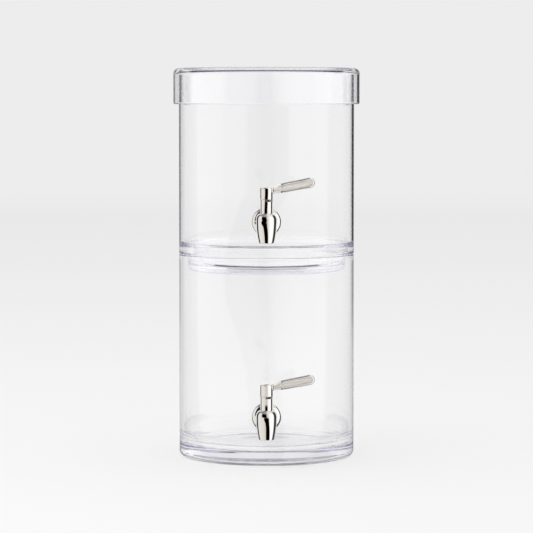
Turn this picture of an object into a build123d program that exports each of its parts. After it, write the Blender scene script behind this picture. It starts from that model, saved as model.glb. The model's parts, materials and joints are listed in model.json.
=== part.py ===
from build123d import *
import os
from math import asin, cos, degrees, radians, sin

# A two-tier glass beverage dispenser. The upper jar stands in the mouth of the lower one, a loose
# glass cap covers the upper jar, and each jar has a quarter-turn spigot at its front.
# Millimetres. The origin is the middle of the foot on the table, +Z is up, the spigots face -Y
# and their closed levers point to +X.

# Jars
jar_radius = 100.5  # outside
wall = 5.0
rim_round = 1.8  # fire-polished edges of the rims
seat_gap = 0.1  # air left where one glass piece rests on another
lower_height = 233.0  # table to the lower rim
lower_base = 15.0  # solid glass under the lower floor
lower_floor_round = 16.0
heel_round = 6.0
foot_ring = 12.0  # width of the ring that stands on the table
punt_depth = 2.0  # hollow under the base
upper_height = 207.8  # shoulder to the upper rim
shoulder_thickness = 12.5
shoulder_round = 1.2
ledge_inner_round = 2.0  # where the upper wall meets the ledge inside
ledge_edge_round = 5.0  # where the ledge drops into the foot
foot_depth = 19.5  # foot that plugs into the lower mouth
foot_clearance = 5.0  # between the foot and the lower mouth
foot_wall = 6.0
foot_base = 7.0
foot_floor_round = 7.0
step_round = 2.0

# Lid
lid_height = 41.0
lid_plate = 4.2
skirt_wall = 4.5
skirt_clearance = 1.75
lid_corner_round = 6.0
lid_inner_round = 3.0
skirt_round = 1.6

# Spigot places
lower_spigot_rise = 41.0  # above the lower floor
upper_spigot_rise = 40.7  # above the shoulder
spigot_standoff = 22.5  # glass to the axis of the neck
hole_radius = 9.0  # hole in the glass

# Spigot body, heights from the axis of the shank
neck_radius = 7.0
neck_top = 25.7
neck_wall = 1.8
neck_edge = 0.3
shoulder_top = 10.4
tulip_radius = 11.8
tulip_height = 3.0
nozzle_radius = 8.5
nozzle_bottom = -22.5
nozzle_wall = 2.3
nozzle_lip_round = 0.7
outlet_depth = 11.0
throat_depth = 3.0
chamber_floor = -7.5
collar_radius = 10.0
collar_edge = 0.8
shank_radius = 7.9
inlet_wall = 3.9  # shank metal around the inlet
shank_past_nut = 8.0
shank_end_edge = 1.0

# Flange and clamping stack
flange_radius = 16.5
flange_depth = 5.5
flange_edge = 1.4  # straight part of the rim
flange_gap = 0.5  # rim to glass at the centre line
flange_wall = 2.2  # metal around the seal's recess
outer_seal_thickness = 2.5
inner_seal_thickness = 2.5
inner_seal_radius = 13.5
seal_gap = 0.05
grommet_length = 4.0  # collar of the outer seal in the glass hole
washer_radius = 12.5
washer_thickness = 1.5
nut_across_flats = 22.0
nut_thickness = 6.0
nut_chamfer = 1.2
shank_clearance = 0.15
thread_clearance = 0.05

# Valve
run_clearance = 0.05
end_clearance = 0.2
sleeve_wall = 0.95
sleeve_top = 7.5
port_wall = 1.55  # plug metal around its axial outlet
side_port_radius = 2.4
ring_section_radius = 0.75
ring_heights = (11.5, 16.0)
plug_head_top = 20.2
stem_side = 4.4
stem_top = 34.0
clip_thickness = 1.0
clip_width = 1.9
clip_grip = 0.5  # depth of the clip's groove in the neck
clip_opening = 4.0

# Lever
hub_radius = 7.35
hub_bottom = 26.0
hub_top = 38.8
hub_top_round = 0.9
lever_drop = 3.7  # lever's line below the hub's top, on the axis of the neck
lever_rise = 10.8  # degrees
lever_reach = 54.0  # axis of the neck to the tip, along the lever
paddle_from = 15.4
paddle_root_radius = 5.35
paddle_tip_radius = 5.75
paddle_thickness = 5.6
paddle_round = 1.9
panel_margin = 2.15
panel_depth = 0.5
arm_from = 4.5  # axis of the neck to the arm's root, inside the hub
arm_drop = 3.8  # middle of the root below the hub's top
arm_root_height = 6.6
arm_tip_height = 8.4
arm_thickness = 4.4
turn = 90.0  # degrees from closed to open
pin_radius = 0.7
pin_grip = 3.0  # length of the stop pin in the hub
pin_reach = 2.4  # length below the hub
stop_clearance = 0.1
screw_radius = 1.5
screw_length = 9.0
screw_head_radius = 2.75
screw_head_height = 2.0
screw_head_sink = 0.6
screw_key = 1.25  # half the key size
screw_key_depth = 1.2

# Places that follow from the sizes above
bore_radius = jar_radius - wall
punt_radius = jar_radius - heel_round - foot_ring
shoulder_z = lower_height + seat_gap
ledge_z = shoulder_z + shoulder_thickness
foot_z = shoulder_z - foot_depth
foot_radius = bore_radius - foot_clearance
well_radius = foot_radius - foot_wall
well_floor_z = foot_z + foot_base
upper_rim_z = shoulder_z + upper_height
skirt_radius = jar_radius + skirt_clearance
lid_radius = skirt_radius + skirt_wall
lid_top_z = upper_rim_z + seat_gap + lid_plate
skirt_z = lid_top_z - lid_height
spigot_reach = jar_radius + spigot_standoff
spigot_heights = {"lower": lower_base + lower_spigot_rise, "upper": shoulder_z + upper_spigot_rise}

# Along a spigot's shank, from the axis of the neck towards the jar
seal_front_y = spigot_standoff - outer_seal_thickness
flange_back_y = spigot_standoff - flange_gap
flange_front_y = flange_back_y - flange_depth
flange_edge_y = flange_back_y - flange_edge
inner_glass_y = spigot_standoff + wall
inner_seal_back_y = inner_glass_y + inner_seal_thickness
washer_back_y = inner_seal_back_y + washer_thickness
nut_back_y = washer_back_y + nut_thickness
shank_end_y = nut_back_y + shank_past_nut
shank_hole_radius = shank_radius + shank_clearance
recess_radius = flange_radius - flange_wall
outer_seal_radius = recess_radius - shank_clearance
grommet_radius = hole_radius - shank_clearance
inlet_radius = shank_radius - inlet_wall

# Across the valve
chamber_radius = neck_radius - neck_wall
sleeve_radius = chamber_radius - run_clearance
sleeve_bore = sleeve_radius - sleeve_wall
plug_radius = sleeve_bore - run_clearance
plug_head_radius = chamber_radius - run_clearance
plug_bottom = chamber_floor + end_clearance
plug_head_bottom = sleeve_top + end_clearance
axial_port_radius = plug_radius - port_wall
outlet_radius = nozzle_radius - nozzle_wall
outlet_top = nozzle_bottom + outlet_depth
throat_bottom = chamber_floor - throat_depth
ring_radius = chamber_radius - run_clearance - ring_section_radius
ring_groove_radius = ring_radius - ring_section_radius - run_clearance
ring_groove_height = 2 * ring_section_radius + end_clearance
clip_bottom = plug_head_top + end_clearance
clip_top = clip_bottom + clip_thickness
clip_groove_radius = chamber_radius + clip_grip
clip_radius = clip_groove_radius - run_clearance
socket_top = stem_top + end_clearance
pin_circle = (chamber_radius + neck_radius) / 2
pin_bottom = hub_bottom - pin_reach
notch_floor = pin_bottom - end_clearance
notch_margin = degrees(asin((pin_radius + stop_clearance) / pin_circle))
screw_head_top = hub_top - screw_head_sink
screw_seat = screw_head_top - screw_head_height

CORNER = (Align.MIN, Align.MIN)
toward_jar = Plane((0, 0, 0), x_dir=(-1, 0, 0), z_dir=(0, 1, 0))
lever_direction = (cos(radians(lever_rise)), 0, sin(radians(lever_rise)))
lever_plane = Plane((0, 0, hub_top - lever_drop), x_dir=lever_direction, z_dir=(0, -1, 0))
arm_root_plane = Plane((arm_from, 0, hub_top - arm_drop), x_dir=(0, 1, 0), z_dir=(1, 0, 0))
arm_tip_plane = Plane(
    lever_plane.origin + lever_plane.x_dir * (paddle_from + paddle_root_radius),
    x_dir=(0, 1, 0),
    z_dir=lever_direction,
)


def corner(section, x, y):
    """The vertex of a section that is nearest to a point."""
    return section.vertices().sort_by_distance((x, y))[0]


# Lower jar: straight wall on a thick base, hollowed underneath so that it stands on a ring
with BuildPart() as lower_jar:
    with BuildSketch(Plane.XZ) as lower_section:
        Rectangle(jar_radius, lower_height, align=CORNER)
        with Locations((0, lower_base)):
            Rectangle(bore_radius, lower_height, align=CORNER, mode=Mode.SUBTRACT)
        fillet(corner(lower_section, jar_radius, 0), heel_round)
        fillet(corner(lower_section, bore_radius, lower_base), lower_floor_round)
        fillet(corner(lower_section, jar_radius, lower_height), rim_round)
        fillet(corner(lower_section, bore_radius, lower_height), rim_round)
        with BuildLine():
            SagittaArc((-punt_radius, 0), (punt_radius, 0), punt_depth)
            Line((-punt_radius, 0), (punt_radius, 0))
        make_face(mode=Mode.SUBTRACT)
    revolve(axis=Axis.Z)
    with BuildSketch(Plane.XZ):
        with Locations((0, spigot_heights["lower"])):
            Circle(hole_radius)
    extrude(amount=spigot_reach, mode=Mode.SUBTRACT)

# Upper jar: the same wall on a thick shoulder, with a hollow foot that plugs into the lower mouth
with BuildPart() as upper_jar:
    with BuildSketch(Plane.XZ) as upper_section:
        with Locations((0, shoulder_z)):
            Rectangle(jar_radius, upper_height, align=CORNER)
        with Locations((0, foot_z)):
            Rectangle(foot_radius, foot_depth + shoulder_thickness, align=CORNER)
        with Locations((0, ledge_z)):
            Rectangle(bore_radius, upper_height, align=CORNER, mode=Mode.SUBTRACT)
        with Locations((0, well_floor_z)):
            Rectangle(well_radius, upper_height, align=CORNER, mode=Mode.SUBTRACT)
        fillet(corner(upper_section, jar_radius, upper_rim_z), rim_round)
        fillet(corner(upper_section, bore_radius, upper_rim_z), rim_round)
        fillet(corner(upper_section, jar_radius, shoulder_z), shoulder_round)
        fillet(corner(upper_section, foot_radius, shoulder_z), step_round)
        fillet(corner(upper_section, foot_radius, foot_z), heel_round)
        fillet(corner(upper_section, bore_radius, ledge_z), ledge_inner_round)
        fillet(corner(upper_section, well_radius, ledge_z), ledge_edge_round)
        fillet(corner(upper_section, well_radius, well_floor_z), foot_floor_round)
    revolve(axis=Axis.Z)
    with BuildSketch(Plane.XZ):
        with Locations((0, spigot_heights["upper"])):
            Circle(hole_radius)
    extrude(amount=spigot_reach, mode=Mode.SUBTRACT)

# Lid: a cap whose plate rests on the rim and whose skirt hangs outside it
with BuildPart() as lid:
    with BuildSketch(Plane.XZ) as lid_section:
        with Locations((0, skirt_z)):
            Rectangle(lid_radius, lid_height, align=CORNER)
            Rectangle(skirt_radius, lid_height - lid_plate, align=CORNER, mode=Mode.SUBTRACT)
        fillet(corner(lid_section, lid_radius, lid_top_z), lid_corner_round)
        fillet(corner(lid_section, skirt_radius, lid_top_z - lid_plate), lid_inner_round)
        fillet(corner(lid_section, lid_radius, skirt_z), skirt_round)
        fillet(corner(lid_section, skirt_radius, skirt_z), skirt_round)
    revolve(axis=Axis.Z)

# One spigot, about the crossing of its neck (Z) and its shank (Y)
# Body: neck, rounded shoulder and tapered nozzle, with a collar and a shank towards the jar
with BuildPart() as spigot_body:
    with BuildSketch(Plane.XZ):
        with BuildLine():
            Polyline((0, nozzle_bottom), (0, neck_top), (neck_radius, neck_top), (neck_radius, shoulder_top))
            EllipticalCenterArc(
                (neck_radius, tulip_height),
                tulip_radius - neck_radius,
                shoulder_top - tulip_height,
                start_angle=0,
                arc_size=90,
            )
            TangentArc((tulip_radius, tulip_height), (nozzle_radius, nozzle_bottom), tangent=(0, -1))
            Line((nozzle_radius, nozzle_bottom), (0, nozzle_bottom))
        make_face()
    revolve(axis=Axis.Z)
    fillet(edges().filter_by(GeomType.CIRCLE).sort_by(Axis.Z)[0], nozzle_lip_round)
    chamfer(edges().filter_by(GeomType.CIRCLE).sort_by(Axis.Z)[-1], neck_edge)
    with BuildSketch(toward_jar):
        Circle(collar_radius)
    extrude(amount=flange_front_y)
    chamfer(edges().filter_by(GeomType.CIRCLE).sort_by(Axis.Y)[-1], collar_edge)
    with BuildSketch(toward_jar.offset(flange_front_y)):
        Circle(shank_radius)
    extrude(amount=shank_end_y - flange_front_y)
    chamfer(edges().filter_by(GeomType.CIRCLE).sort_by(Axis.Y)[-1], shank_end_edge)
    # Chamber with the clip's groove, throat and outlet
    with BuildSketch(Plane.XZ):
        with BuildLine():
            Polyline(
                (0, neck_top),
                (chamber_radius, neck_top),
                (chamber_radius, clip_top),
                (clip_groove_radius, clip_top),
                (clip_groove_radius, clip_bottom),
                (chamber_radius, clip_bottom),
                (chamber_radius, chamber_floor),
                (axial_port_radius, chamber_floor),
                (axial_port_radius, throat_bottom),
                (outlet_radius, outlet_top),
                (outlet_radius, nozzle_bottom),
                (0, nozzle_bottom),
                close=True,
            )
        make_face()
    revolve(axis=Axis.Z, mode=Mode.SUBTRACT)
    with BuildSketch(toward_jar):
        Circle(inlet_radius)
    extrude(amount=shank_end_y, mode=Mode.SUBTRACT)
    # Quarter-turn notch in the neck's rim for the stop pin
    with BuildSketch(Plane.XY.offset(notch_floor)):
        with BuildLine():
            sweep_arc = CenterArc((0, 0), hub_radius, -turn - notch_margin, turn + 2 * notch_margin)
            Line((0, 0), sweep_arc @ 0)
            Line(sweep_arc @ 1, (0, 0))
        make_face()
    extrude(amount=neck_top - notch_floor, mode=Mode.SUBTRACT)

# Escutcheon: domed flange with a recess for the outer seal
with BuildPart() as escutcheon:
    with BuildSketch(Plane.XY):
        with BuildLine():
            Polyline(
                (flange_radius, flange_edge_y),
                (flange_radius, flange_back_y),
                (recess_radius, flange_back_y),
                (recess_radius, seal_front_y),
                (shank_hole_radius, seal_front_y),
                (shank_hole_radius, flange_front_y),
                (collar_radius, flange_front_y),
            )
            TangentArc((collar_radius, flange_front_y), (flange_radius, flange_edge_y), tangent=(1, 0))
        make_face()
    revolve(axis=Axis.Y)

# Outer seal: washer saddled on the glass, with a collar that centres the shank in the hole
with BuildPart() as outer_seal:
    with BuildSketch(toward_jar.offset(seal_front_y)):
        Circle(outer_seal_radius)
    extrude(amount=outer_seal_thickness + flange_depth)
    with Locations((0, spigot_reach, 0)):
        Cylinder(jar_radius + seal_gap, 4 * outer_seal_radius, mode=Mode.SUBTRACT)
    with BuildSketch(toward_jar.offset(seal_front_y)):
        Circle(grommet_radius)
    extrude(amount=outer_seal_thickness + grommet_length)
    with BuildSketch(toward_jar.offset(seal_front_y)):
        Circle(shank_hole_radius)
    extrude(amount=outer_seal_thickness + flange_depth, mode=Mode.SUBTRACT)

# Inner seal: washer whose front is bowed to the inside of the wall
with BuildPart() as inner_seal:
    with BuildSketch(toward_jar.offset(inner_seal_back_y)):
        Circle(inner_seal_radius)
        Circle(shank_hole_radius, mode=Mode.SUBTRACT)
    extrude(amount=-inner_seal_thickness - wall)
    with Locations((0, spigot_reach, 0)):
        Cylinder(bore_radius - seal_gap, 4 * inner_seal_radius, mode=Mode.INTERSECT)

with BuildPart() as flat_washer:
    with BuildSketch(toward_jar.offset(inner_seal_back_y)):
        Circle(washer_radius)
        Circle(shank_hole_radius, mode=Mode.SUBTRACT)
    extrude(amount=washer_thickness)

# Lock nut: hexagon with turned corners
with BuildPart() as lock_nut:
    with BuildSketch(toward_jar.offset(washer_back_y)):
        nut_hexagon = RegularPolygon(nut_across_flats / 2, 6, major_radius=False)
        Circle(shank_radius + thread_clearance, mode=Mode.SUBTRACT)
    extrude(amount=nut_thickness)
    with BuildSketch(Plane.XY) as nut_section:
        with Locations((0, washer_back_y)):
            Rectangle(nut_hexagon.radius, nut_thickness, align=CORNER)
        chamfer(corner(nut_section, nut_hexagon.radius, washer_back_y), nut_chamfer)
        chamfer(corner(nut_section, nut_hexagon.radius, nut_back_y), nut_chamfer)
    revolve(axis=Axis.Y, mode=Mode.INTERSECT)

# Valve sleeve: seat liner whose port faces the jar
with BuildPart() as valve_sleeve:
    with BuildSketch(Plane.XY.offset(chamber_floor)):
        Circle(sleeve_radius)
        Circle(sleeve_bore, mode=Mode.SUBTRACT)
    extrude(amount=sleeve_top - chamber_floor)
    with BuildSketch(toward_jar):
        Circle(side_port_radius)
    extrude(amount=neck_radius, mode=Mode.SUBTRACT)

# Valve plug: closed, its side port faces -X; the lever turns it towards the sleeve's port
with BuildPart() as valve_plug:
    with BuildSketch(Plane.XZ):
        with Locations((0, plug_bottom)):
            Rectangle(plug_radius, plug_head_top - plug_bottom, align=CORNER)
        with Locations((0, plug_head_bottom)):
            Rectangle(plug_head_radius, plug_head_top - plug_head_bottom, align=CORNER)
        with Locations([(ring_groove_radius, height) for height in ring_heights]):
            Rectangle(neck_radius, ring_groove_height, align=(Align.MIN, Align.CENTER), mode=Mode.SUBTRACT)
    revolve(axis=Axis.Z)
    with BuildSketch(Plane.XY.offset(plug_head_top)):
        Rectangle(stem_side, stem_side)
    extrude(amount=stem_top - plug_head_top)
    with BuildSketch(Plane.XY.offset(plug_bottom)):
        Circle(axial_port_radius)
    extrude(amount=-plug_bottom, mode=Mode.SUBTRACT)
    with BuildSketch(Plane.YZ):
        Circle(side_port_radius)
    extrude(amount=-neck_radius, mode=Mode.SUBTRACT)
    with BuildSketch(Plane.XY.offset(stem_top)):
        Circle(screw_radius + thread_clearance)
    extrude(amount=screw_seat - screw_length - stem_top - end_clearance, mode=Mode.SUBTRACT)

with BuildPart() as o_rings:
    with Locations([(0, 0, height) for height in ring_heights]):
        Torus(ring_radius, ring_section_radius)

# Retaining ring: open spring clip over the plug's head
with BuildPart() as retaining_ring:
    with BuildSketch(Plane.XY.offset(clip_bottom)):
        Circle(clip_radius)
        Circle(clip_radius - clip_width, mode=Mode.SUBTRACT)
        Rectangle(clip_opening, neck_radius, align=(Align.CENTER, Align.MIN), mode=Mode.SUBTRACT)
    extrude(amount=clip_thickness)

# Lever: hub on the stem, flat paddle with a sunk panel on each face, and a flared arm between them
with BuildPart() as lever:
    with BuildSketch(Plane.XY.offset(hub_bottom)):
        Circle(hub_radius)
    extrude(amount=hub_top - hub_bottom)
    fillet(edges().filter_by(GeomType.CIRCLE).sort_by(Axis.Z)[-1], hub_top_round)
    paddle_start = (paddle_from + paddle_root_radius, 0)
    paddle_end = (lever_reach - paddle_tip_radius, 0)
    with BuildSketch(lever_plane):
        with Locations(paddle_start):
            Circle(paddle_root_radius)
        with Locations(paddle_end):
            Circle(paddle_tip_radius)
        make_hull()
    extrude(amount=paddle_thickness / 2, both=True)
    fillet(faces().filter_by(Axis.Y).edges(), paddle_round)
    for side in (-1, 1):
        with BuildSketch(lever_plane.offset(side * paddle_thickness / 2)):
            with Locations(paddle_start):
                Circle(paddle_root_radius - panel_margin)
            with Locations(paddle_end):
                Circle(paddle_tip_radius - panel_margin)
            make_hull()
        extrude(amount=-side * panel_depth, mode=Mode.SUBTRACT)
    with BuildSketch(arm_root_plane):
        Ellipse(arm_thickness / 2, arm_root_height / 2)
    with BuildSketch(arm_tip_plane):
        Ellipse(arm_thickness / 2, arm_tip_height / 2)
    loft()
    # Socket for the square stem, counterbore and hole for the screw, hole for the stop pin
    with BuildSketch(Plane.XY.offset(hub_bottom)):
        Rectangle(stem_side + 2 * run_clearance, stem_side + 2 * run_clearance)
    extrude(amount=socket_top - hub_bottom, mode=Mode.SUBTRACT)
    with BuildSketch(Plane.XY.offset(screw_seat)):
        Circle(screw_head_radius + shank_clearance)
    extrude(amount=hub_top - screw_seat, mode=Mode.SUBTRACT)
    with BuildSketch(Plane.XY.offset(hub_bottom)):
        Circle(screw_radius + thread_clearance)
    extrude(amount=hub_top - hub_bottom, mode=Mode.SUBTRACT)
    with BuildSketch(Plane.XY.offset(hub_bottom)):
        with Locations((pin_circle, 0)):
            Circle(pin_radius)
    extrude(amount=pin_grip, mode=Mode.SUBTRACT)

# Lever screw: socket head, sunk in the hub's top
with BuildPart() as lever_screw:
    with BuildSketch(Plane.XY.offset(screw_seat)):
        Circle(screw_head_radius)
    extrude(amount=screw_head_height)
    with BuildSketch(Plane.XY.offset(screw_seat)):
        Circle(screw_radius)
    extrude(amount=-screw_length)
    with BuildSketch(Plane.XY.offset(screw_head_top)):
        RegularPolygon(screw_key, 6, major_radius=False)
    extrude(amount=-screw_key_depth, mode=Mode.SUBTRACT)

with BuildPart() as stop_pin:
    with BuildSketch(Plane.XY.offset(pin_bottom)):
        with Locations((pin_circle, 0)):
            Circle(pin_radius)
    extrude(amount=pin_reach + pin_grip)

os.makedirs("parts", exist_ok=True)

lower_jar.part.label = "lower_jar"
export_step(lower_jar.part, "parts/lower_jar.step")
upper_jar.part.label = "upper_jar"
export_step(upper_jar.part, "parts/upper_jar.step")
lid.part.label = "lid"
export_step(lid.part, "parts/lid.step")

spigot_pieces = {
    "spigot_body": spigot_body,
    "escutcheon": escutcheon,
    "outer_seal": outer_seal,
    "inner_seal": inner_seal,
    "flat_washer": flat_washer,
    "lock_nut": lock_nut,
    "valve_sleeve": valve_sleeve,
    "valve_plug": valve_plug,
    "o_rings": o_rings,
    "retaining_ring": retaining_ring,
    "lever": lever,
    "lever_screw": lever_screw,
    "stop_pin": stop_pin,
}
for tier, spigot_height in spigot_heights.items():
    for name, piece in spigot_pieces.items():
        placed = piece.part.moved(Location((0, -spigot_reach, spigot_height)))
        placed.label = f"{tier}_{name}"
        export_step(placed, f"parts/{tier}_{name}.step")
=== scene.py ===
import json
from math import acos, ceil, copysign, cos, e, hypot, log, pi, radians, sin, sqrt, tan

import bmesh
import bpy
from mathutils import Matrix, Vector


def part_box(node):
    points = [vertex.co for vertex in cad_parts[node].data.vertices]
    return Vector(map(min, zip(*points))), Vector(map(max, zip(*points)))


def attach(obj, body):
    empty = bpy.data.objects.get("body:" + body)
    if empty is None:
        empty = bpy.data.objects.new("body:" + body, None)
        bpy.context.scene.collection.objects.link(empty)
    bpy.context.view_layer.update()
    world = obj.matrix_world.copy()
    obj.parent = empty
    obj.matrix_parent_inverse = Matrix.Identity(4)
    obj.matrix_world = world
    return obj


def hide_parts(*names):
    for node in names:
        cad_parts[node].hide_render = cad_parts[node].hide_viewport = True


# A two-tier glass beverage dispenser on a pale studio floor. Metres, +Z up, spigots towards -Y.
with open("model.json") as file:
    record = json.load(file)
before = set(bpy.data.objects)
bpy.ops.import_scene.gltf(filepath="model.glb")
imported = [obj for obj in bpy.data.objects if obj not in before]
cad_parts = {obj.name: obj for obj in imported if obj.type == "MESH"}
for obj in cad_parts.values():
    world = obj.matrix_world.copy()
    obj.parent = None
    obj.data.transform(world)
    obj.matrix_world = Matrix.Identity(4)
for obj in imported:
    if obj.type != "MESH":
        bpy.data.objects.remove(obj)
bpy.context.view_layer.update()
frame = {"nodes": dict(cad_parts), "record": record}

TIERS = ("lower", "upper")
BODY_OF_TIER = {"lower": "base", "upper": "upper_tier"}

# Camera, from the photograph's perspective
IMAGE_SIDE = 533  # pixels
FOCAL_PIXELS = 2423
SENSOR_MM = 36.0
CAMERA_DISTANCE = 2.787  # to the jars' axis
CAMERA_HEIGHT = 0.4045
CAMERA_PITCH = 3.84  # degrees below level
CLIP_END = 1000.0
LIGHT_BOUNCES = {
    "max_bounces": 64,
    "transmission_bounces": 48,
    "glossy_bounces": 48,
    "transparent_max_bounces": 32,
}

# Glass, repeated from the solids
WALL = 0.005
RIM_ROUND = 0.0018
LOWER_BASE = 0.015
LOWER_FLOOR_ROUND = 0.016
HEEL_ROUND = 0.006
FOOT_RING = 0.012
PUNT_DEPTH = 0.002
SHOULDER_THICKNESS = 0.0125
SHOULDER_ROUND = 0.0012
LEDGE_INNER_ROUND = 0.002
LEDGE_EDGE_ROUND = 0.005
FOOT_DEPTH = 0.0195
FOOT_CLEARANCE = 0.005
FOOT_WALL = 0.006
FOOT_BASE = 0.007
FOOT_FLOOR_ROUND = 0.007
STEP_ROUND = 0.002
LID_PLATE = 0.0042
SKIRT_WALL = 0.0045
LID_CORNER_ROUND = 0.006
LID_INNER_ROUND = 0.003
SKIRT_ROUND = 0.0016
HOLE_RADIUS = 0.009

# Thread on the bare end of each spigot's shank, inside the jar
THREAD_PITCH = 0.0015
THREAD_ROOT = 0.00785
THREAD_CREST = 0.0084
THREAD_PROFILE = ((-0.5, 0.0), (-0.08, 1.0), (0.08, 1.0), (0.5, 0.0))  # shares of pitch and height
THREAD_START = 0.0003  # from the nut
THREAD_END = 0.0012  # from the shank's end
THREAD_STEPS = 40  # per turn

# Flare of each lever's arm into its paddle, measured along the lever's line from the neck's axis
LEVER_LINE = 0.0091  # on the neck's axis, above the hub's underside
LEVER_RISE = radians(10.8)
FLARE_FROM = 0.007
FLARE_TO = 0.0205
FLARE_SWELL = (0.007, 0.01)  # where it comes out of the arm
FLARE_SPREAD = (0.0095, 0.0172)  # where it widens to the paddle
FLARE_ARM = ((-0.00423, -0.0042), (0.00265, 0.0042))  # the arm's lower and upper edge, from end to end
FLARE_PADDLE = (-0.00528, 0.00528)
FLARE_SUNK = 0.00015  # below the arm's surface at its start
FLARE_PROUD = 0.00004
FLARE_THICKNESS = (0.0041, 0.00452)
FLARE_POWER = (2.0, 3.0)  # section, from an ellipse to a rounded bar
FLARE_ROWS = 24
FLARE_COLUMNS = 48

# Meshes
SEGMENTS = 256  # round a lathed piece
ARC_STEP = 0.16  # radians of a rounding per face
SUPPORT = 0.0004  # rows this close to a rounding keep the straight stretch's shading true
PUNT_STEPS = 24
PATCH_COLUMNS = 6  # columns each side of a spigot hole that its patch takes up
PATCH_RINGS = 4
ON_AXIS = 1e-9
SAME_PLACE = 1e-6  # on an outline
SAME_POINT = 1e-7  # on a mesh
SHARP_ANGLE = radians(40)

# Finishes. A noise's numbers are those of its texture, and bumps have a strength and a depth
GLASS_IOR = 1.5
GLASS_TINT = (0.8, 0.79, 0.88, 1.0)
GLASS_DENSITY = 2.6
GLASS_PAINTED_GLOW = 0.008  # painted glow: light that each face of the glass gives off of its own, though it is no lamp
PAINTED_GLOW_COLOUR = (0.64, 0.64, 0.82, 1.0)
GLASS_SHADOW = (0.985, 0.985, 0.985, 1.0)  # light that a face lets through to the floor
GLASS_WAVES = {"Scale": 14.0, "Detail": 1.0, "Roughness": 0.3}
GLASS_BUMPS = (0.05, 0.0004)
HEEL_WAVES = {"Scale": 80.0, "Detail": 1.0}  # left by pressing near the heel
HEEL_WAVES_TO = (0.004, 0.009)  # height over which they end
HEEL_WAVES_FROM = (0.084, 0.092)  # distance from the axis over which they start
HEEL_BUMPS = (0.5, 0.001)
GRAIN_SPAN = (0.3, 0.7)  # most of a noise lies between these values
NICKEL = (0.86, 0.845, 0.82)
POLISH = 0.02  # roughness of the polished metal
POLISH_VARIES = (0.75, 1.25)  # shares of its roughness that it lies between
POLISH_GRAIN = {"Scale": 400.0, "Detail": 4.0}
POLISH_BUMPS = (0.01, 0.0001)
STEEL = (0.68, 0.68, 0.67)
TURNED = 0.22  # roughness of turned steel
TURNED_VARIES = (0.7, 1.3)
TURNED_RINGS = {"Scale": 70.0, "Detail": 2.0}
TURNED_BUMPS = (0.3, 0.0001)
SKIN_VARIES = (0.85, 1.1)
SKIN_GRAIN = {"Scale": 900.0, "Detail": 3.0}
SKIN_BUMPS = (0.15, 0.0001)
SKIN_DEPTH = 0.001  # that light goes into rubber and plastic
SATIN = (0.97, 0.94, 0.89)
SATIN_FROM = (0.0074, 0.008)  # from the spigot's axis, where the hub ends and the arm starts
SATIN_TO = (0.0155, 0.0165)  # where the arm ends; past it only the paddle's faces are satin
SATIN_FACES = (0.95, 0.99)  # part of the normal across the lever over which these faces start
SATIN_ROUGHNESS = 0.4
SATIN_METAL = 0.35  # its fine grain scatters the rest
MARKS_SIZE = (0.02, 0.004, 0.0009)  # length, depth and width of the ground marks
MARKS_GRAIN = {"Scale": 1.0, "Detail": 3.0}
MARKS_COLOURS = [(0.32, (0.58, 0.54, 0.51)), (0.5, (0.83, 0.78, 0.735)), (0.68, (0.97, 0.93, 0.89))]
MARKS_BUMPS = (0.3, 0.0001)

# Studio: a floor, a world and one lamp. To reflections only, the floor and the world show soft boxes and
# dark flags round the object
KEY_PLACE = (-1.2, -1.2, 2.0)
KEY_TARGET = (0, 0, 0.2)
KEY_SIDE = 1.5
KEY_WATTS = 22.0
FLOOR_REACH = 600.0
FLOOR_SEGMENTS = 128
FLOOR_ALBEDO = 0.9
FLOOR_GLOW = 0.62  # share of the floor's look that is even, so that its shadow stays faint
FLOOR_NEAR = (0.915, 0.915, 0.915)
FLOOR_FADE = (-1.0, 6.0)  # places along Y between which the floor turns into the background
FAR = (2.0, 9.0)  # distance over which the floor becomes even altogether
BACKGROUND = (0.845, 0.845, 0.845)
METAL_FADE = (0.02, 0.04)  # distance from the spigots over which metal sees the surround on the floor
GLASS_FADE = (0.4, 2.5)  # distance from the jars' axis over which glass does

# Limits between the numbers of reflections, or of glass surfaces, that light has passed
NONE = 0.5
ONCE = 1.5
ONE_WALL = 2.5
WALL_AND_BASE = 3.5  # one wall, and into the base where it stands on the floor
FLAG_BOUNCES = 8.5  # light that was reflected more often shows no edge flags
PAINTED_DIM_BOUNCES = 20.5  # painted shade: the studio's light is dimmed for light that was reflected more often
PAINTED_DIM_DARK = 0.8
HEEL_BOUNCES = (ONCE, 4.5)

# Light round the object, in degrees to the right from its front: (place, level) and a tint where it isn't
# plain, softly joined
PLAIN = (1.0, 1.0, 1.0)
WARM = (1.0, 0.955, 0.89)
SURROUND = [
    (-180, 0.36), (-152, 0.33), (-146, 0.03), (-107, 0.03), (-101, 0.9), (-75, 0.9),
    (-65, 0.9, WARM), (-30, 0.85, WARM), (-14, 0.72, WARM), (14, 0.72, WARM),
    (28, 1.0), (45, 1.2), (84, 1.2), (91, 0.05), (162, 0.05), (168, 0.36), (180, 0.36),
]
CEILING = [(-180, 0.3), (-60, 0.3), (0, 0.45), (25, 0.9), (120, 0.95), (160, 0.5), (180, 0.3)]
CEILING_FROM = (0.55, 0.8)  # sine of the elevation over which the surround turns into the ceiling
# The same as reflections inside the glass see it
GLASS_SURROUND = [
    (-180, 0.9), (-165, 0.85), (-148, 0.85), (-135, 1.0), (-120, 0.96), (-56, 0.96), (-48, 1.0),
    (-15, 0.95), (-8, 0.75), (8, 0.7), (15, 0.85), (45, 1.0), (62, 1.0), (68, 1.25), (88, 1.25),
    (94, 1.35), (125, 1.25), (142, 1.0), (152, 0.85), (165, 0.85), (180, 0.9),
]
GLASS_CEILING = (0.04, 0.04, 0.04, 1.0)
GLASS_CEILING_FROM = (0.45, 0.55)
GLASS_CEILING_DEEP = (0.84, 0.88)  # for light that passed more than one wall

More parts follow.
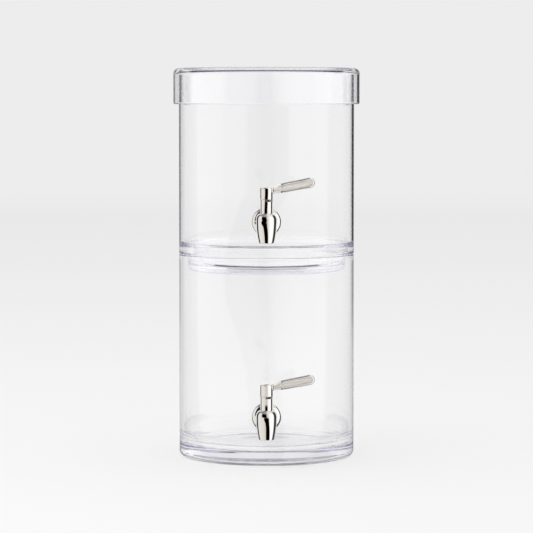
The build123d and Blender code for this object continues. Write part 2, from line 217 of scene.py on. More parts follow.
# Dark flag in front of the polished metal: its left and right edge in degrees, by the distance on the
# floor from the spigots and by the sine of the elevation above it
FLAG_SIDE_SOFT = 3.0  # degrees over which such an edge starts, each way
FRONT_FLOOR = [
    (0.05, -8, 48), (0.13, -6, 36), (0.21, -11, 30), (0.34, -27, 27), (0.65, -26, 20),
    (1.4, -36, 8), (2.3, -56, 5), (3.6, -59, 0), (6.8, -37, 16), (8.2, -26, 29),
]
FRONT_SKY = [(0.0, -50, 6), (0.15, -53, 3), (0.5, -57, 0)]
# A belt of the floor that the flag leaves pale for reflections that come in flat
PALE_BELT = ((0.57, 0.6), (0.95, 1.0))
PALE_SLANT = 1.02  # length of the ray, over its length on the floor

# Dark flags behind the object, near the horizon only: they draw the edges of the glass. Spans in degrees,
# for light that stayed in one wall and for light that passed more
FLAG_DARK = 0.98
FLAG_SOFT = 2.0  # degrees over which a flag ends
WORLD_FLAGS = [(-180, -164), (-140, -136), (136, 140), (157, 180)]
WORLD_FLAGS_DEEP = [(-166, -145), (145, 172)]
FLAG_RISE = (0.08, 0.1)  # sine of the elevation over which they end
FLAG_RISE_DEEP = (0.03, 0.05)
FLOOR_FLAGS = [(-180, -163), (158, 180)]
FLAGS_LOW = ((1.0, 2.0), (3.45, 3.6))  # distances that serve the lower jar, at part of their strength
FLAGS_LOW_SHARE = 0.45
FLAGS_HIGH = (4.2, 4.4)  # where they start for the upper jar, past the ledge between the jars
# A weak flag at the right, which keeps the ledge between the jars from glaring there
LEDGE_FLAG = [(95, 152)]
LEDGE_FLAG_PLACE = ((3.55, 3.7), (4.15, 4.25))  # distances that serve the ledge
LEDGE_FLAG_SHARE = 0.35
# Slanting flags higher up behind the object, which draw the lid's line out to its corners: their left and
# right edge in degrees, by the sine of the elevation
CORNER_FLAGS = [
    [(0.2, -166, -160), (0.3, -158, -151), (0.38, -152, -143), (0.5, -144, -133)],
    [(0.2, 160, 163), (0.3, 150, 154), (0.38, 142, 149), (0.5, 133, 143)],
    [(0.2, 163, 168), (0.3, 157, 165), (0.4, 154, 163), (0.5, 156, 165)],
]
CORNER_RISE = (0.2, 0.25)
CORNER_DARK = 0.95
# A flag behind the object for light reflected two to four times in one wall, which draws the heel
HEEL_FLAG = [(-180, -162), (162, 180)]
HEEL_FLAG_RISE = ((0.19, 0.22), (0.42, 0.46))

# The object's shade on the floor, as the glass sees it: for light that passed one wall and the base at
# most, from the heel outwards, over short rays only, and less of it after more than one reflection
SHADE_FROM = (0.095, 0.102)  # distance from the axis over which it starts
SHADE_RAY = 0.1  # longest ray that sees it
SHADE_RAY_LESS = 0.035
SHADE_DARK = 0.95
SHADE_DARK_LESS = 0.5
# For light that passed more walls, under the object, and round it where the light comes in steeply
DEEP_SHADE_DARK = 0.97
DEEP_SHADE_OUT = 0.27
DEEP_SHADE_RING = 0.1  # distance from the axis past which a ray has to be steep
DEEP_SHADE_SLANT = 1.25  # its least length, over its length on the floor past there
DEEP_SHADE_MORE = 0.01  # and a bit more


# Meshes
def rounded(corners):
    """Outline through corners (radius, height, rounding), with arcs at the roundings."""
    points = []
    for i, (r, z, rounding) in enumerate(corners):
        here = Vector((r, z))
        if rounding == 0:
            points.append(here)
            continue
        before = (Vector(corners[i - 1][:2]) - here).normalized()
        after = (Vector(corners[i + 1][:2]) - here).normalized()
        half = acos(max(-1.0, min(1.0, before.dot(after)))) / 2
        reach = rounding / tan(half)
        middle = here + (before + after).normalized() * (rounding / sin(half))
        start, end = here + before * reach, here + after * reach
        turn = pi - 2 * half
        steps = max(2, ceil(turn / ARC_STEP))
        first, last = start - middle, end - middle
        points.append(start + before * SUPPORT)
        for k in range(steps + 1):
            share = k / steps
            a, b = sin((1 - share) * turn) / sin(turn), sin(share * turn) / sin(turn)
            points.append(middle + first * a + last * b)
        points.append(end + after * SUPPORT)
    return points


def punt(radius, depth):
    """Outline of a base's shallow hollow, from the axis to where the foot ring starts."""
    bend = (radius**2 + depth**2) / (2 * depth)
    points = []
    for k in range(PUNT_STEPS):
        r = radius * k / PUNT_STEPS
        points.append(Vector((r, depth - (bend - sqrt(bend**2 - r**2)))))
    return points


def new_object(name, made, finish):
    """An object from a bmesh."""
    mesh = bpy.data.meshes.new(name)
    made.to_mesh(mesh)
    made.free()
    mesh.materials.append(finish)
    placed = bpy.data.objects.new(name, mesh)
    bpy.context.scene.collection.objects.link(placed)
    return placed


def new_piece(name, made, body, finish):
    """A smooth-shaded object from a bmesh, riding on a body."""
    bmesh.ops.remove_doubles(made, verts=made.verts, dist=SAME_POINT)
    bmesh.ops.recalc_face_normals(made, faces=made.faces)
    piece = new_object(name, made, finish)
    piece.data.shade_smooth()
    piece.data.set_sharp_from_angle(angle=SHARP_ANGLE)
    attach(piece, body)
    return piece


def join_loops(made, *loops):
    """Quads between closed loops with as many points, each joined to the next one by their order."""
    for first, second in zip(loops, loops[1:]):
        count = len(first)
        for k in range(count):
            n = (k + 1) % count
            made.faces.new((first[k], first[n], second[n], second[k]))


def lathe(outline, hole=None):
    """A bmesh turned about Z from an outline, with a hole towards -Y: its height and half its patch's."""
    made = bmesh.new()
    angles = [2 * pi * k / SEGMENTS - pi / 2 for k in range(SEGMENTS)]
    rows = []
    for r, z in outline:
        if r < ON_AXIS:
            rows.append([made.verts.new((0, 0, z))] * SEGMENTS)
        else:
            rows.append([made.verts.new((r * cos(a), r * sin(a), z)) for a in angles])
    patches = [find_patch(outline, side, *hole) for side in ("outer", "inner")] if hole else []
    columns = [k % SEGMENTS for k in range(-PATCH_COLUMNS, PATCH_COLUMNS + 1)]
    skipped = {(i, k) for low, high in patches for i in range(low, high) for k in columns[:-1]}
    for i in range(len(rows) - 1):
        for k in range(SEGMENTS):
            n = (k + 1) % SEGMENTS
            corners = list(dict.fromkeys([rows[i][k], rows[i][n], rows[i + 1][n], rows[i + 1][k]]))
            if (i, k) not in skipped and len(corners) > 2:
                made.faces.new(corners)
    join_loops(made, *(ring_patch(made, rows, outline, patch, columns, hole[0]) for patch in patches))
    bmesh.ops.delete(made, geom=[v for v in made.verts if not v.link_faces], context="VERTS")
    return made


def find_patch(outline, side, height, half):
    """First and last row of the straight wall's stretch around a hole, on its outer or inner face."""
    found = [i for i, p in enumerate(outline) if abs(p.y - height) <= half + SAME_PLACE]
    widest = max(outline[i].x for i in found)
    wanted = [i for i in found if (abs(outline[i].x - widest) < SAME_PLACE) == (side == "outer")]
    return wanted[0], wanted[-1]


def ring_patch(made, rows, outline, patch, columns, height):
    """Fills a square left in a wall with rings that close in on the hole; returns the hole's edge."""
    low, high = patch
    radius = outline[low].x
    edge = [rows[low][k] for k in columns[:-1]]
    edge += [rows[i][columns[-1]] for i in range(low, high)]
    edge += [rows[high][k] for k in reversed(columns[1:])]
    edge += [rows[i][columns[0]] for i in range(high, low, -1)]
    start = 0 if edge[0].co.z < height else high - low + 2 * PATCH_COLUMNS
    edge = edge[start:] + edge[:start]
    if edge[1].co.x < edge[0].co.x:
        edge = [edge[0]] + edge[:0:-1]
    loops = [edge]
    for ring in range(1, PATCH_RINGS + 1):
        share = ring / PATCH_RINGS
        loop = []
        for corner in edge:
            x, z = corner.co.x, corner.co.z - height
            scale = 1 + share * (HOLE_RADIUS / hypot(x, z) - 1)
            depth = sqrt(radius**2 - (x * scale) ** 2)
            loop.append(made.verts.new((x * scale, -depth, height + z * scale)))
        loops.append(loop)
    join_loops(made, *loops)
    return loops[-1]


def with_hole_rows(points, radius, height, half):
    """The outline with even rows for a hole put into its straight stretch at that radius."""
    count = 2 * PATCH_COLUMNS
    stretch = [Vector((radius, height - half + 2 * half * k / count)) for k in range(count + 1)]
    for i in range(len(points) - 1):
        a, b = points[i], points[i + 1]
        upright = all(abs(point.x - radius) < SAME_PLACE for point in (a, b))
        if upright and (a.y - height) * (b.y - height) < 0:
            return points[:i + 1] + (stretch if a.y < b.y else stretch[::-1]) + points[i + 1:]
    raise ValueError("no straight wall at that radius and height")


# Node trees
def material(name):
    """A material with an empty node tree."""
    made = bpy.data.materials.new(name)
    made.use_nodes = True
    made.node_tree.nodes.clear()
    return made, made.node_tree


def add(tree, kind, inputs=None, **settings):
    """A node with its settings, and its inputs as values or as sockets of other nodes."""
    node = tree.nodes.new(kind)
    for key, value in settings.items():
        setattr(node, key, value)
    for key, value in (inputs or {}).items():
        if isinstance(value, bpy.types.NodeSocket):
            tree.links.new(value, node.inputs[key])
        else:
            node.inputs[key].default_value = value
    return node


def ramp(tree, factor, stops):
    """A colour ramp with stops (place, colour)."""
    node = add(tree, "ShaderNodeValToRGB", {"Fac": factor})
    node.color_ramp.interpolation = "LINEAR"
    elements = node.color_ramp.elements
    while len(elements) > 1:
        elements.remove(elements[-1])
    for i, (place, colour) in enumerate(stops):
        element = elements[0] if i == 0 else elements.new(place)
        element.position = place
        element.color = (*colour, 1.0)
    return node.outputs["Color"]


def mapped(tree, value, source=(0.0, 1.0), target=(0.0, 1.0), kind="LINEAR"):
    """A value taken from one span to another."""
    spans = {"From Min": source[0], "From Max": source[1], "To Min": target[0], "To Max": target[1]}
    node = add(tree, "ShaderNodeMapRange", {"Value": value, **spans}, interpolation_type=kind)
    return node.outputs["Result"]


def fade(tree, value, span):
    """Soft step from 0 to 1 over a span of a value."""
    return mapped(tree, value, span, kind="SMOOTHSTEP")


def window(tree, value, spans):
    """1 between two spans of a value, with a soft step over each."""
    return maths(tree, "SUBTRACT", *(fade(tree, value, span) for span in spans))


def maths(tree, operation, first, second=0.0):
    """Result of a sum or comparison of two values."""
    return add(tree, "ShaderNodeMath", {0: first, 1: second}, operation=operation).outputs["Value"]


def times(tree, first, *others):
    """Product of values."""
    for other in others:
        first = maths(tree, "MULTIPLY", first, other)
    return first


def rest_of(tree, share):
    """What a share leaves of 1."""
    return maths(tree, "SUBTRACT", 1.0, share)


def vectors(tree, operation, first, second):
    """Result of a sum of two vectors."""
    return add(tree, "ShaderNodeVectorMath", {0: first, 1: second}, operation=operation).outputs["Vector"]


def length(tree, vector):
    """Length of a vector."""
    return add(tree, "ShaderNodeVectorMath", {0: vector}, operation="LENGTH").outputs["Value"]


def part(tree, vector, axis):
    """One coordinate of a vector."""
    return add(tree, "ShaderNodeSeparateXYZ", {0: vector}).outputs[axis]


def choose(tree, factor, first, second):
    """Colour or value that goes from a first to a second one."""
    inputs = {"Fac": factor, "Color1": first, "Color2": second}
    return add(tree, "ShaderNodeMixRGB", inputs).outputs["Color"]


def blend(tree, factor, first, second):
    """Shader that goes from a first to a second one."""
    return add(tree, "ShaderNodeMixShader", {0: factor, 1: first, 2: second}).outputs["Shader"]


def noise(tree, numbers, vector):
    """Height of a noise texture at a place."""
    return add(tree, "ShaderNodeTexNoise", {"Vector": vector, **numbers}).outputs["Fac"]


def bumps(tree, height, size, **inputs):
    """Normal of a surface with bumps of a strength and a depth."""
    inputs = {"Height": height, "Strength": size[0], "Distance": size[1], **inputs}
    return add(tree, "ShaderNodeBump", inputs).outputs["Normal"]


def varied(roughness, shares):
    """Span that a roughness lies in."""
    return [roughness * share for share in shares]


# Finishes
def glass_material():
    """Clear soda-lime glass: faint waves in its surface, a slight blue cast where it is thick, and a
    faint painted glow from every face.
    """
    made, tree = material("clear_glass")
    place = add(tree, "ShaderNodeTexCoord").outputs["Object"]
    out = length(tree, vectors(tree, "MULTIPLY", place, (1.0, 1.0, 0.0)))
    low = rest_of(tree, fade(tree, part(tree, place, "Z"), HEEL_WAVES_TO))
    heel = times(tree, low, fade(tree, out, HEEL_WAVES_FROM))
    normal = bumps(tree, noise(tree, GLASS_WAVES, place), GLASS_BUMPS)
    normal = bumps(tree, times(tree, noise(tree, HEEL_WAVES, place), heel), HEEL_BUMPS, Normal=normal)
    shader = add(
        tree,
        "ShaderNodeBsdfPrincipled",
        {
            "Base Color": (1.0, 1.0, 1.0, 1.0),
            "Roughness": 0.0,
            "IOR": GLASS_IOR,
            "Transmission Weight": 1.0,
            # painted glow: each face gives off a faint lavender light of its own
            "Emission Color": PAINTED_GLOW_COLOUR,
            "Emission Strength": GLASS_PAINTED_GLOW,
            "Normal": normal,
        },
    ).outputs["BSDF"]
    clear = add(tree, "ShaderNodeBsdfTransparent", {"Color": GLASS_SHADOW}).outputs["BSDF"]
    tint = add(tree, "ShaderNodeVolumeAbsorption", {"Color": GLASS_TINT, "Density": GLASS_DENSITY})
    shadow = add(tree, "ShaderNodeLightPath").outputs["Is Shadow Ray"]
    add(
        tree,
        "ShaderNodeOutputMaterial",
        {"Surface": blend(tree, shadow, shader, clear), "Volume": tint.outputs["Volume"]},
    )
    return made


def surface(tree, inputs):
    """Puts an opaque finish on a material."""
    shader = add(tree, "ShaderNodeBsdfPrincipled", inputs)
    add(tree, "ShaderNodeOutputMaterial", {"Surface": shader.outputs["BSDF"]})


def nickel_material():
    """Polished nickel whose gloss varies a little with fine polishing marks."""
    made, tree = material("polished_nickel")
    grain = noise(tree, POLISH_GRAIN, add(tree, "ShaderNodeTexCoord").outputs["Object"])
    surface(
        tree,
        {
            "Base Color": (*NICKEL, 1.0),
            "Metallic": 1.0,
            "Roughness": mapped(tree, grain, GRAIN_SPAN, varied(POLISH, POLISH_VARIES)),
            "Normal": bumps(tree, grain, POLISH_BUMPS),
        },
    )
    return made


def moulded_material(name, colour, roughness, subsurface):
    """Rubber or plastic with a fine moulded skin."""
    made, tree = material(name)
    skin = noise(tree, SKIN_GRAIN, add(tree, "ShaderNodeTexCoord").outputs["Object"])
    surface(
        tree,
        {
            "Base Color": (*colour, 1.0),
            "Roughness": mapped(tree, skin, target=varied(roughness, SKIN_VARIES)),
            "Subsurface Weight": subsurface,
            "Subsurface Scale": SKIN_DEPTH,
            "Normal": bumps(tree, skin, SKIN_BUMPS),
        },
    )
    return made


def turned_material(name, axis):
    """Steel with fine turning marks, in rings about the middle of a piece and square to an axis."""
    made, tree = material(name)
    place = add(tree, "ShaderNodeTexCoord").outputs["Generated"]
    centred = vectors(tree, "SUBTRACT", place, (0.5, 0.5, 0.5))
    flat = [0.0 if i == axis else 1.0 for i in range(3)]
    out = length(tree, vectors(tree, "MULTIPLY", centred, flat))
    rings = add(tree, "ShaderNodeTexNoise", {"W": out, **TURNED_RINGS}, noise_dimensions="1D")
    rings = rings.outputs["Fac"]
    surface(
        tree,
        {
            "Base Color": (*STEEL, 1.0),
            "Metallic": 1.0,
            "Roughness": mapped(tree, rings, GRAIN_SPAN, varied(TURNED, TURNED_VARIES)),
            "Normal": bumps(tree, rings, TURNED_BUMPS),
        },
    )
    return made


def lever_material():
    """Polished nickel on the hub; a satin arm and paddle, with ground marks along the paddle's faces."""
    made, tree = material("satin_nickel_lever")
    coordinates = add(tree, "ShaderNodeTexCoord").outputs
    place = coordinates["Object"]
    along = add(
        tree,
        "ShaderNodeMapping",
        {"Vector": place, "Rotation": (0.0, -LEVER_RISE, 0.0), "Scale": MARKS_SIZE},
        vector_type="TEXTURE",
    ).outputs["Vector"]
    marks = noise(tree, MARKS_GRAIN, along)
    out = part(tree, place, "X")
    past_hub = fade(tree, out, SATIN_FROM)
    facing = maths(tree, "ABSOLUTE", part(tree, coordinates["Normal"], "Y"))
    ground = times(tree, fade(tree, facing, SATIN_FACES), past_hub)
    satin = maths(tree, "MAXIMUM", ground, maths(tree, "SUBTRACT", past_hub, fade(tree, out, SATIN_TO)))
    bare = choose(tree, satin, (*NICKEL, 1.0), (*SATIN, 1.0))
    surface(
        tree,
        {
            "Base Color": choose(tree, ground, bare, ramp(tree, marks, MARKS_COLOURS)),
            "Metallic": mapped(tree, satin, target=(1.0, SATIN_METAL)),
            "Roughness": mapped(tree, satin, target=(POLISH, SATIN_ROUGHNESS)),
            "Normal": bumps(tree, times(tree, marks, ground), MARKS_BUMPS),
        },
    )
    return made


CLEAR_GLASS = glass_material()
FINISHES = {
    "polished_metal": nickel_material(),
    "steel": turned_material("turned_steel", axis=1),
    "silicone": moulded_material("clear_silicone", (0.86, 0.87, 0.87), roughness=0.4, subsurface=0.4),
    "rubber_seal": moulded_material("black_rubber", (0.03, 0.03, 0.03), roughness=0.55, subsurface=0.0),
    "seat_plastic": moulded_material("seat_liner", (0.88, 0.88, 0.85), roughness=0.35, subsurface=0.1),
}
UPRIGHT_STEEL = turned_material("turned_steel_upright", axis=2)
PIECE_FINISHES = {
    "lever": lever_material(),
    "retaining_ring": UPRIGHT_STEEL,
    "lever_screw": UPRIGHT_STEEL,
    "stop_pin": UPRIGHT_STEEL,
    "valve_plug": UPRIGHT_STEEL,
}

# Glass pieces, from the boxes of their solids
lower_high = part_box("lower_jar")[1]
upper_low, upper_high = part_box("upper_jar")
lid_low, lid_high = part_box("lid")
jar_radius = lower_high.x
bore_radius = jar_radius - WALL
shoulder_z = upper_low.z + FOOT_DEPTH
ledge_z = shoulder_z + SHOULDER_THICKNESS
foot_radius = bore_radius - FOOT_CLEARANCE
well_radius = foot_radius - FOOT_WALL
punt_radius = jar_radius - HEEL_ROUND - FOOT_RING
skirt_radius = lid_high.x - SKIRT_WALL
hole_heights = {
    tier: sum(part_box(f"{tier}_flat_washer")[side].z for side in (0, 1)) / 2 for tier in TIERS
}
patch_half = jar_radius * sin(2 * pi * PATCH_COLUMNS / SEGMENTS)


def jar_piece(tier, outline):
    """A jar turned from its outline, with the hole for its spigot."""
    hole = (hole_heights[tier], patch_half)
    for radius in (jar_radius, bore_radius):
        outline = with_hole_rows(outline, radius, *hole)
    piece = new_piece(f"{tier}_jar_glass", lathe(outline, hole), BODY_OF_TIER[tier], CLEAR_GLASS)
    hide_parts(f"{tier}_jar")


lower_corners = [
    (punt_radius, 0, 0),
    (jar_radius, 0, HEEL_ROUND),
    (jar_radius, lower_high.z, RIM_ROUND),
    (bore_radius, lower_high.z, RIM_ROUND),
    (bore_radius, LOWER_BASE, LOWER_FLOOR_ROUND),
    (0, LOWER_BASE, 0),
]
upper_corners = [
    (0, upper_low.z, 0),
    (foot_radius, upper_low.z, HEEL_ROUND),
    (foot_radius, shoulder_z, STEP_ROUND),
    (jar_radius, shoulder_z, SHOULDER_ROUND),
    (jar_radius, upper_high.z, RIM_ROUND),
    (bore_radius, upper_high.z, RIM_ROUND),
    (bore_radius, ledge_z, LEDGE_INNER_ROUND),
    (well_radius, ledge_z, LEDGE_EDGE_ROUND),
    (well_radius, upper_low.z + FOOT_BASE, FOOT_FLOOR_ROUND),
    (0, upper_low.z + FOOT_BASE, 0),
]
lid_corners = [
    (0, lid_high.z - LID_PLATE, 0),
    (skirt_radius, lid_high.z - LID_PLATE, LID_INNER_ROUND),
    (skirt_radius, lid_low.z, SKIRT_ROUND),
    (lid_high.x, lid_low.z, SKIRT_ROUND),
    (lid_high.x, lid_high.z, LID_CORNER_ROUND),
    (0, lid_high.z, 0),
]
jar_piece("lower", punt(punt_radius, PUNT_DEPTH) + rounded(lower_corners))
jar_piece("upper", rounded(upper_corners))
lid_piece = new_piece("lid_glass", lathe(rounded(lid_corners)), "cap", CLEAR_GLASS)
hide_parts("lid")


# Metal details
def shank_thread(tier):
    """A screw ridge round the shank between its nut and its end, running out at both ends."""
    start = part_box(f"{tier}_lock_nut")[1].y + THREAD_START + THREAD_PITCH / 2
    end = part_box(f"{tier}_spigot_body")[1].y - THREAD_END - THREAD_PITCH / 2
    count = round((end - start) / THREAD_PITCH * THREAD_STEPS)
    made = bmesh.new()
    rows = []
    for k in range(count + 1):
        angle = 2 * pi * k / THREAD_STEPS
        middle = start + THREAD_PITCH * k / THREAD_STEPS
        grown = min(1.0, k / THREAD_STEPS, (count - k) / THREAD_STEPS)
        height = (THREAD_CREST - THREAD_ROOT) * grown
        row = []
        for side, rise in THREAD_PROFILE:
            radius = THREAD_ROOT + height * rise
            z = hole_heights[tier] + radius * sin(angle)
            row.append(made.verts.new((radius * cos(angle), middle + side * THREAD_PITCH, z)))
        rows.append(row)
    join_loops(made, *rows)
    piece = new_piece(f"{tier}_shank_thread", made, BODY_OF_TIER[tier], FINISHES["polished_metal"])


def eased(value, limits):
    """0 to 1 between the limits, level at both ends."""
    share = min(1.0, max(0.0, (value - limits[0]) / (limits[1] - limits[0])))
    return share * share * (3 - 2 * share)


def between(pair, share):
    """A value at a share of the way from one to another."""
    return pair[0] + (pair[1] - pair[0]) * share


def lever_flare(tier):
    """A web that starts inside the lever's arm, widens to the paddle's width and ends inside it."""
    low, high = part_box(f"{tier}_lever")
    middle = (low.y + high.y) / 2
    line = low.z + LEVER_LINE
    made = bmesh.new()
    rows = []
    for k in range(FLARE_ROWS + 1):
        share = k / FLARE_ROWS
        out = between((FLARE_FROM, FLARE_TO), share)
        swell, spread = eased(out, FLARE_SWELL), eased(out, FLARE_SPREAD)
        proud = between((-FLARE_SUNK, FLARE_PROUD), swell)
        bottom, top = (
            between((between(arm, share) + side * proud, paddle), spread)
            for arm, paddle, side in zip(FLARE_ARM, FLARE_PADDLE, (-1, 1))
        )
        half_thickness = between(FLARE_THICKNESS, swell) / 2
        bend = 2 / between(FLARE_POWER, spread)
        row = []
        for n in range(FLARE_COLUMNS):
            angle = 2 * pi * n / FLARE_COLUMNS
            across, up = (copysign(abs(turn) ** bend, turn) for turn in (cos(angle), sin(angle)))
            up = (bottom + top) / 2 + up * (top - bottom) / 2
            x = out * cos(LEVER_RISE) - up * sin(LEVER_RISE)
            z = line + out * sin(LEVER_RISE) + up * cos(LEVER_RISE)
            row.append(made.verts.new((x, middle + across * half_thickness, z)))
        rows.append(row)
    join_loops(made, *rows)
    made.faces.new(rows[0])
    made.faces.new(rows[-1])
    piece = new_piece(f"{tier}_lever_flare", made, f"{tier}_valve", PIECE_FINISHES["lever"])


for tier in TIERS:
    shank_thread(tier)
    lever_flare(tier)

# Finishes of the solids that show as they are
slot_of_node = {subpart["node"]: subpart["material_slot"] for subpart in frame["record"]["subparts"]}
for node, solid in frame["nodes"].items():
    finish = PIECE_FINISHES.get(node.partition("_")[2], FINISHES.get(slot_of_node[node]))
    if finish:
        solid.data.materials.clear()
        solid.data.materials.append(finish)


# Studio
def ray(tree, what):
    """What is known of the light's path."""
    return add(tree, "ShaderNodeLightPath").outputs[what]


def through_glass(tree, limit=NONE):
    """1 where light has passed more glass surfaces than a limit."""
    return maths(tree, "GREATER_THAN", ray(tree, "Transmission Depth"), limit)


def one_wall(tree):
    """1 where light has passed one wall of glass at most."""
    return rest_of(tree, through_glass(tree, ONE_WALL))


def bounced(tree, limit):
    """1 where light was reflected more often than a limit."""
    return maths(tree, "GREATER_THAN", ray(tree, "Glossy Depth"), limit)


def mirrored(tree):
    """1 where light comes by way of a reflection, 0 where something is seen directly or through glass."""
    return times(tree, bounced(tree, NONE), ray(tree, "Is Glossy Ray"))


def turn_share(degrees):
    """A direction as a share of the turn that starts behind the object and goes by its left."""
    return (degrees + 180) / 360


def direction_share(tree, place):
    """The direction of a place from the axis of the studio, as such a share."""
    front = times(tree, part(tree, place, "Y"), -1.0)
    return mapped(tree, maths(tree, "ARCTAN2", part(tree, place, "X"), front), (-pi, pi))


def ring_of(tree, share, stops):
    """Colours round the object from stops (degrees, level), some with a tint."""
    colours = []
    for place, level, *tint in stops:
        colours.append((turn_share(place), [level * tone for tone in (tint[0] if tint else PLAIN)]))
    return ramp(tree, share, colours)


def surround(tree, metal_share, glass_share):
    """Colours of the soft boxes by direction, as metal and as glass sees them."""
    metal, glass = ring_of(tree, metal_share, SURROUND), ring_of(tree, glass_share, GLASS_SURROUND)
    return choose(tree, through_glass(tree), metal, glass)


def edge_flags(tree, share, spans):
    """Darkness of flags behind the glass, over spans of degrees."""
    stops = []
    for left, right in spans:
        stops += [] if left == -180 else [(left - FLAG_SOFT, 0.0)]
        stops += [(left, FLAG_DARK), (right, FLAG_DARK)]
        stops += [] if right == 180 else [(right + FLAG_SOFT, 0.0)]
    return ring_of(tree, share, stops)


def slanting_flag(tree, share, factor, rows):
    """Darkness of a flag whose edges follow a factor by rows (place, left, right)."""
    stops = [(place, (turn_share(left), turn_share(right), 0)) for place, left, right in rows]
    edges = ramp(tree, factor, stops)
    soft = FLAG_SIDE_SOFT / 360
    past = [maths(tree, "SUBTRACT", share, part(tree, edges, axis)) for axis in ("X", "Y")]
    return maths(tree, "SUBTRACT", *(fade(tree, edge, (-soft, soft)) for edge in past))


def left_by(tree, *darkness):
    """Share of light that flags leave."""
    return times(tree, *(rest_of(tree, dark) for dark in darkness))


def few_bounces(tree):
    """1 where light was reflected seldom enough to show the edge flags."""
    return rest_of(tree, bounced(tree, FLAG_BOUNCES))


def painted_bounce_shade(tree):
    """Painted shade: loss of the studio's light for light that was reflected very often inside the glass.
    """
    return times(tree, bounced(tree, PAINTED_DIM_BOUNCES), PAINTED_DIM_DARK)


def plain_floor(tree, place, away):
    """The floor as it is seen directly: pale, with a faint shadow, and even far away."""
    matt = add(tree, "ShaderNodeBsdfDiffuse", {"Color": (FLOOR_ALBEDO,) * 3 + (1.0,)}).outputs["BSDF"]
    depth = fade(tree, part(tree, place, "Y"), FLOOR_FADE)
    glow_colour = ramp(tree, depth, [(0, FLOOR_NEAR), (1, BACKGROUND)])
    glow = add(tree, "ShaderNodeEmission", {"Color": glow_colour}).outputs["Emission"]
    shown = ray(tree, "Is Camera Ray")
    for kind in ("Is Glossy Ray", "Is Transmission Ray"):
        shown = maths(tree, "MAXIMUM", shown, ray(tree, kind))
    even = times(tree, shown, maths(tree, "MAXIMUM", fade(tree, away, FAR), FLOOR_GLOW))
    return blend(tree, even, matt, glow)


def front_on_floor(tree, share, away):
    """Darkness of the flag in front of the metal, about the spigots."""
    first, last = log(FRONT_FLOOR[0][0]), log(FRONT_FLOOR[-1][0])
    outwards = mapped(tree, maths(tree, "LOGARITHM", away, e), (first, last))
    rows = [((log(reach) - first) / (last - first), left, right) for reach, left, right in FRONT_FLOOR]
    slant = maths(tree, "DIVIDE", ray(tree, "Ray Length"), away)
    pale = times(tree, window(tree, away, PALE_BELT), maths(tree, "LESS_THAN", slant, PALE_SLANT))
    return times(tree, slanting_flag(tree, share, outwards, rows), rest_of(tree, pale))


def flags_on_floor(tree, share, away):
    """Darkness of the flags behind the glass and of the ledge's flag, for light from one wall."""
    low = times(tree, window(tree, away, FLAGS_LOW), FLAGS_LOW_SHARE)
    strength = maths(tree, "ADD", low, fade(tree, away, FLAGS_HIGH))
    edges = times(tree, edge_flags(tree, share, FLOOR_FLAGS), strength, one_wall(tree), few_bounces(tree))
    ledge = times(tree, window(tree, away, LEDGE_FLAG_PLACE), one_wall(tree), LEDGE_FLAG_SHARE)
    return edges, times(tree, ledge, edge_flags(tree, share, LEDGE_FLAG))


def object_shade(tree, away):
    """Darkness of the object's shade on the floor."""
    reached = ray(tree, "Ray Length")
    again = bounced(tree, ONCE)
    longest = maths(tree, "SUBTRACT", SHADE_RAY, times(tree, again, SHADE_RAY_LESS))
    darkness = maths(tree, "SUBTRACT", SHADE_DARK, times(tree, again, SHADE_DARK_LESS))
    near = times(tree, fade(tree, away, SHADE_FROM), darkness, maths(tree, "LESS_THAN", reached, longest))
    run = times(tree, maths(tree, "SUBTRACT", away, DEEP_SHADE_RING), DEEP_SHADE_SLANT)
    steep = maths(tree, "GREATER_THAN", reached, maths(tree, "ADD", run, DEEP_SHADE_MORE))
    steep = times(tree, steep, maths(tree, "LESS_THAN", away, DEEP_SHADE_OUT))
    under = maths(tree, "LESS_THAN", away, SHADE_FROM[0])
    deep = times(tree, maths(tree, "MAXIMUM", steep, under), DEEP_SHADE_DARK)
    return choose(tree, through_glass(tree, WALL_AND_BASE), near, deep)


def floor_material(spigot_foot):
    """Matt pale floor that turns into the background far behind the object."""
    made, tree = material("studio_floor")
    place = add(tree, "ShaderNodeTexCoord").outputs["Object"]
    share, away = direction_share(tree, place), length(tree, place)
    near = vectors(tree, "SUBTRACT", place, spigot_foot)
    near_share, near_away = direction_share(tree, near), length(tree, near)
    glass = through_glass(tree)

    # What the metal sees, about the spigots, and what the glass sees, about the jars' axis
    shade = object_shade(tree, away)
    metal_light = left_by(tree, front_on_floor(tree, near_share, near_away))
    # the glass's light also takes the painted shade for light that was reflected very often
    glass_light = left_by(tree, *flags_on_floor(tree, share, away), shade, painted_bounce_shade(tree))
    light = choose(tree, glass, metal_light, glass_light)
    colour = surround(tree, near_share, share)
    studio = add(tree, "ShaderNodeEmission", {"Color": colour, "Strength": light}).outputs["Emission"]
    glass_reach = maths(
        tree, "MAXIMUM", fade(tree, away, GLASS_FADE), maths(tree, "GREATER_THAN", shade, 0.0)
    )
    reach = choose(tree, glass, fade(tree, near_away, METAL_FADE), glass_reach)
    look = blend(tree, times(tree, mirrored(tree), reach), plain_floor(tree, place, away), studio)
    add(tree, "ShaderNodeOutputMaterial", {"Surface": look})
    return made


def flags_in_world(tree, share, rise):
    """Darkness of the flags behind the glass."""
    low_flags = [
        times(tree, edge_flags(tree, share, spans), rest_of(tree, fade(tree, rise, ends)))
        for spans, ends in ((WORLD_FLAGS, FLAG_RISE), (WORLD_FLAGS_DEEP, FLAG_RISE_DEEP))
    ]
    edges = times(tree, choose(tree, through_glass(tree, ONE_WALL), *low_flags), few_bounces(tree))
    corner_light = left_by(tree, *(slanting_flag(tree, share, rise, rows) for rows in CORNER_FLAGS))
    corners = times(tree, rest_of(tree, corner_light), CORNER_DARK, fade(tree, rise, CORNER_RISE))
    heel = times(tree, edge_flags(tree, share, HEEL_FLAG), window(tree, rise, HEEL_FLAG_RISE))
    least, most = (bounced(tree, limit) for limit in HEEL_BOUNCES)
    heel = times(tree, heel, least, rest_of(tree, most))
    return edges, times(tree, maths(tree, "MAXIMUM", corners, heel), one_wall(tree))


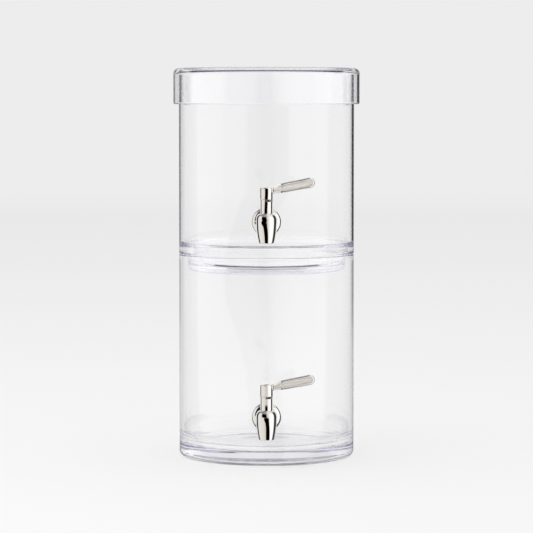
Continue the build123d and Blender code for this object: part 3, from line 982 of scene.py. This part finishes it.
def studio_world():
    """Even light and the pale background, and walls and a ceiling for reflections."""
    made = bpy.data.worlds.new("studio")
    made.use_nodes = True
    tree = made.node_tree
    tree.nodes.clear()
    direction = add(tree, "ShaderNodeTexCoord").outputs["Generated"]
    share, rise = direction_share(tree, direction), part(tree, direction, "Z")
    glass = through_glass(tree)
    # for the glass, flags and the painted shade for light that was reflected very often
    light = choose(
        tree,
        glass,
        left_by(tree, slanting_flag(tree, share, rise, FRONT_SKY)),
        left_by(tree, *flags_in_world(tree, share, rise), painted_bounce_shade(tree)),
    )
    ceiling = choose(tree, glass, ring_of(tree, share, CEILING), GLASS_CEILING)
    glass_ceilings = [fade(tree, rise, ends) for ends in (GLASS_CEILING_FROM, GLASS_CEILING_DEEP)]
    glass_above = choose(tree, through_glass(tree, ONE_WALL), *glass_ceilings)
    glass_above = times(tree, glass_above, few_bounces(tree))
    above = choose(tree, glass, fade(tree, rise, CEILING_FROM), glass_above)
    walls, upper, even = (
        add(tree, "ShaderNodeBackground", inputs).outputs["Background"]
        for inputs in (
            {"Color": surround(tree, share, share), "Strength": light},
            {"Color": ceiling},
            {"Color": (*BACKGROUND, 1.0)},
        )
    )
    look = blend(tree, mirrored(tree), even, blend(tree, above, walls, upper))
    add(tree, "ShaderNodeOutputWorld", {"Surface": look})
    return made


scene = bpy.context.scene
hinge = next(joint for joint in frame["record"]["behaviour"]["joints"] if joint["type"] == "hinge")
floor_mesh = bmesh.new()
bmesh.ops.create_circle(floor_mesh, cap_ends=True, segments=FLOOR_SEGMENTS, radius=FLOOR_REACH)
new_object("floor", floor_mesh, floor_material((*hinge["pos_m"][:2], 0.0)))
scene.world = studio_world()

# A soft box that lights the object and isn't seen itself
key_light = bpy.data.lights.new("key", "AREA")
key_light.shape = "RECTANGLE"
key_light.size = key_light.size_y = KEY_SIDE
key_light.energy = KEY_WATTS
key = bpy.data.objects.new("key", key_light)
scene.collection.objects.link(key)
key.location = KEY_PLACE
key.rotation_euler = (Vector(KEY_TARGET) - Vector(KEY_PLACE)).to_track_quat("-Z", "Y").to_euler()
key.visible_camera = key.visible_glossy = key.visible_transmission = False

# Camera
camera_data = bpy.data.cameras.new("camera")
camera_data.sensor_width = SENSOR_MM
camera_data.lens = SENSOR_MM * FOCAL_PIXELS / IMAGE_SIDE
camera_data.clip_end = CLIP_END
camera = bpy.data.objects.new("camera", camera_data)
scene.collection.objects.link(camera)
camera.location = (0, -CAMERA_DISTANCE, CAMERA_HEIGHT)
camera.rotation_euler = (radians(90 - CAMERA_PITCH), 0, 0)
scene.camera = camera

scene.view_settings.view_transform = "Standard"
for setting, count in LIGHT_BOUNCES.items():
    setattr(scene.cycles, setting, count)
